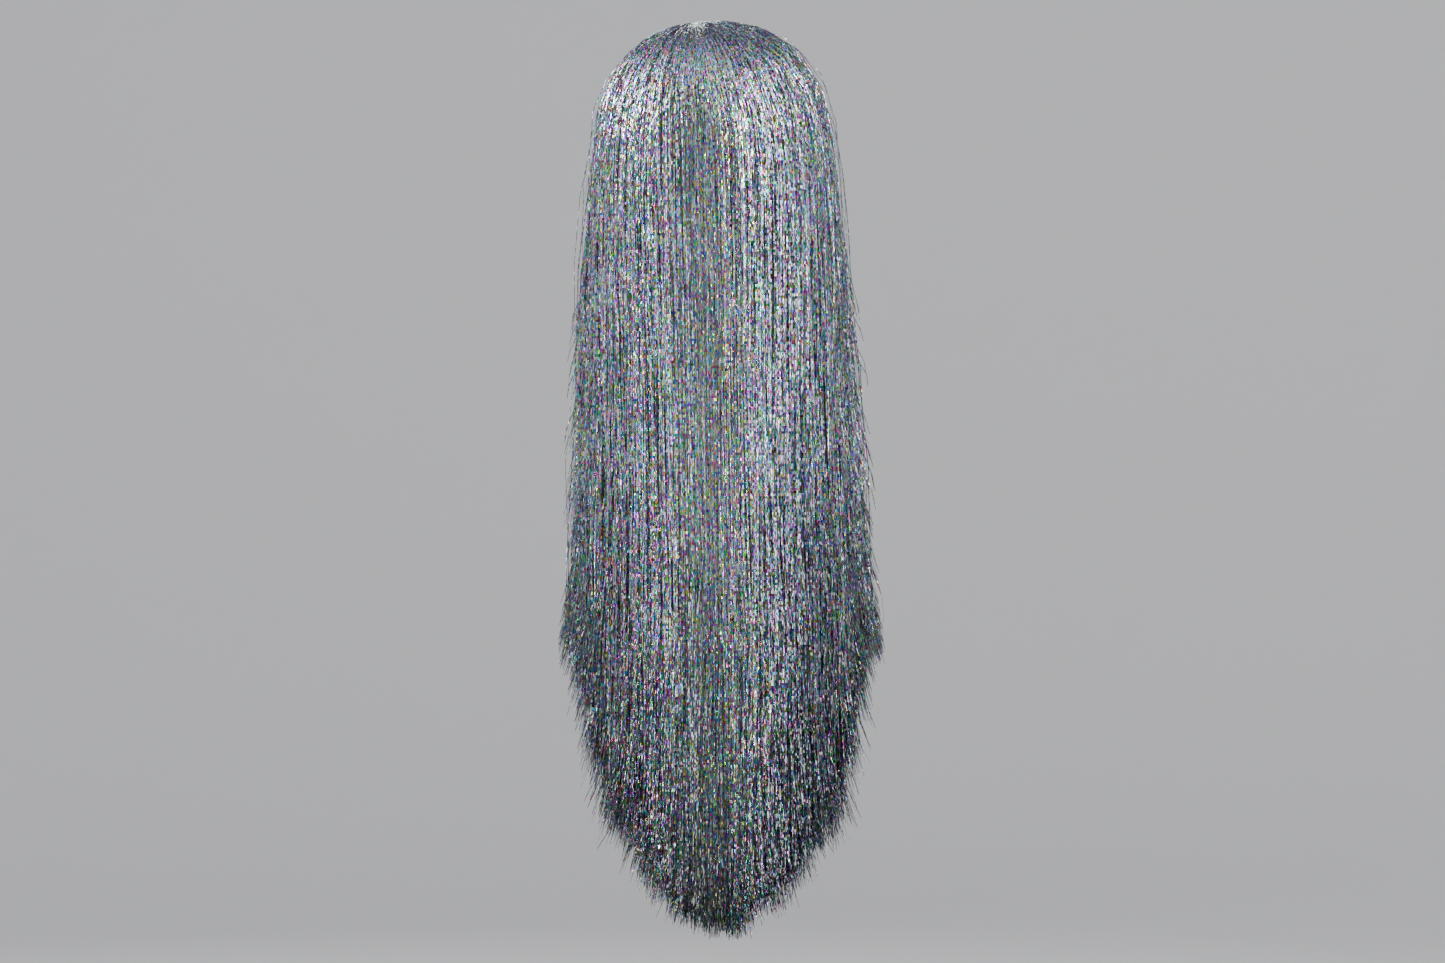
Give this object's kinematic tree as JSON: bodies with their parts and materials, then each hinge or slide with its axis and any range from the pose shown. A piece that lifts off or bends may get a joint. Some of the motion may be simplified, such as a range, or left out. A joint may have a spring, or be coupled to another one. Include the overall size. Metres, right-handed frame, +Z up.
{
  "type": "costume wig",
  "caption": "Very long straight wig of metallic rainbow-flecked tinsel, sewn in rows to a net cap with ear tabs and nape adjusters.",
  "frame": {"origin": "middle of the head at the hat line, where the cap's widest ring lies", "axes": "+Z up, the face opening towards -Y, the wearer's left towards +X"},
  "size_m": [0.2618, 0.2126, 0.7998],
  "materials": {
    "outer_tinsel": "mirror-bright metallised film, cut in narrow flat strands, with rainbow flecks",
    "inner_tinsel": "the same metallised film in the shade of the layers above it",
    "cap_net": "open knitted net and lace tapes, matt",
    "stretch_band": "knitted stretch band with overlocked edges, matt",
    "skin_top": "fine close mesh, matt",
    "elastic": "ribbed woven elastic, matt",
    "stay_metal": "thin soft metal strip, satin",
    "hook_plastic": "moulded plastic, glossy",
    "weft_track": "machine-sewn track of thread over strand ends"
  },
  "bodies": {
    "cap": {"crown_net": "cap_net", "part_patch": "skin_top", "front_band": "stretch_band", "nape_band": "stretch_band", "left_side_lace": "cap_net", "left_adjuster_strap": "elastic", "left_loop_tape": "elastic", "right_side_lace": "cap_net", "right_adjuster_strap": "elastic", "right_loop_tape": "elastic", "rib_1": "cap_net", "rib_2": "cap_net", "rib_3": "cap_net", "rib_4": "cap_net", "rib_5": "cap_net", "back_weft_1": "weft_track", "back_weft_2": "weft_track", "back_weft_3": "weft_track", "back_weft_4": "weft_track", "back_weft_5": "weft_track", "back_weft_6": "weft_track", "back_weft_7": "weft_track", "back_weft_8": "weft_track", "crown_weft_1": "weft_track", "crown_weft_2": "weft_track", "crown_weft_3": "weft_track", "left_weft_1": "weft_track", "left_weft_2": "weft_track", "left_weft_3": "weft_track", "left_front_weft_1": "weft_track", "left_front_weft_2": "weft_track", "right_weft_1": "weft_track", "right_weft_2": "weft_track", "right_weft_3": "weft_track", "right_front_weft_1": "weft_track", "right_front_weft_2": "weft_track", "crown_hair": "outer_tinsel", "left_top_hair": "outer_tinsel", "right_top_hair": "outer_tinsel"},
    "back_hair": {"back_fall_1": "outer_tinsel", "back_fall_2": "inner_tinsel", "back_fall_3": "inner_tinsel", "back_fall_4": "inner_tinsel"},
    "left_hair": {"left_fall_1": "outer_tinsel", "left_fall_2": "inner_tinsel"},
    "right_hair": {"right_fall_1": "outer_tinsel", "right_fall_2": "inner_tinsel"},
    "left_ear_flap": {"left_ear_tab": "stretch_band", "left_ear_stay": "stay_metal"},
    "right_ear_flap": {"right_ear_tab": "stretch_band", "right_ear_stay": "stay_metal"},
    "left_adjuster": {"left_adjuster_hook": "hook_plastic"},
    "right_adjuster": {"right_adjuster_hook": "hook_plastic"}
  },
  "joints": [
    {"name": "back_hair_swing", "type": "hinge", "parent": "cap", "child": "back_hair", "pos_m": [0, 0.088, -0.048], "axis": [1, 0, 0], "range_deg": [0, 35]},
    {"name": "left_hair_swing", "type": "hinge", "parent": "cap", "child": "left_hair", "pos_m": [0.099, 0, -0.034], "axis": [0, -1, 0], "range_deg": [0, 30]},
    {"name": "right_hair_swing", "type": "hinge", "parent": "cap", "child": "right_hair", "pos_m": [-0.099, 0, -0.034], "axis": [0, 1, 0], "range_deg": [0, 30]},
    {"name": "left_ear_tab_bend", "type": "hinge", "parent": "cap", "child": "left_ear_flap", "pos_m": [0.07504, -0.02379, -0.00406], "axis": [-0.2419, -0.9703, 0], "range_deg": [-30, 12]},
    {"name": "right_ear_tab_bend", "type": "hinge", "parent": "cap", "child": "right_ear_flap", "pos_m": [-0.07504, -0.02379, -0.00406], "axis": [-0.2419, 0.9703, 0], "range_deg": [-30, 12]},
    {"name": "left_adjuster_slide", "type": "slide", "parent": "cap", "child": "left_adjuster", "axis": [-0.9146, 0.4043, 0], "range_m": [0, 0.0223]},
    {"name": "right_adjuster_slide", "type": "slide", "parent": "cap", "child": "right_adjuster", "axis": [0.9146, 0.4043, 0], "range_m": [0, 0.0223]}
  ]
}
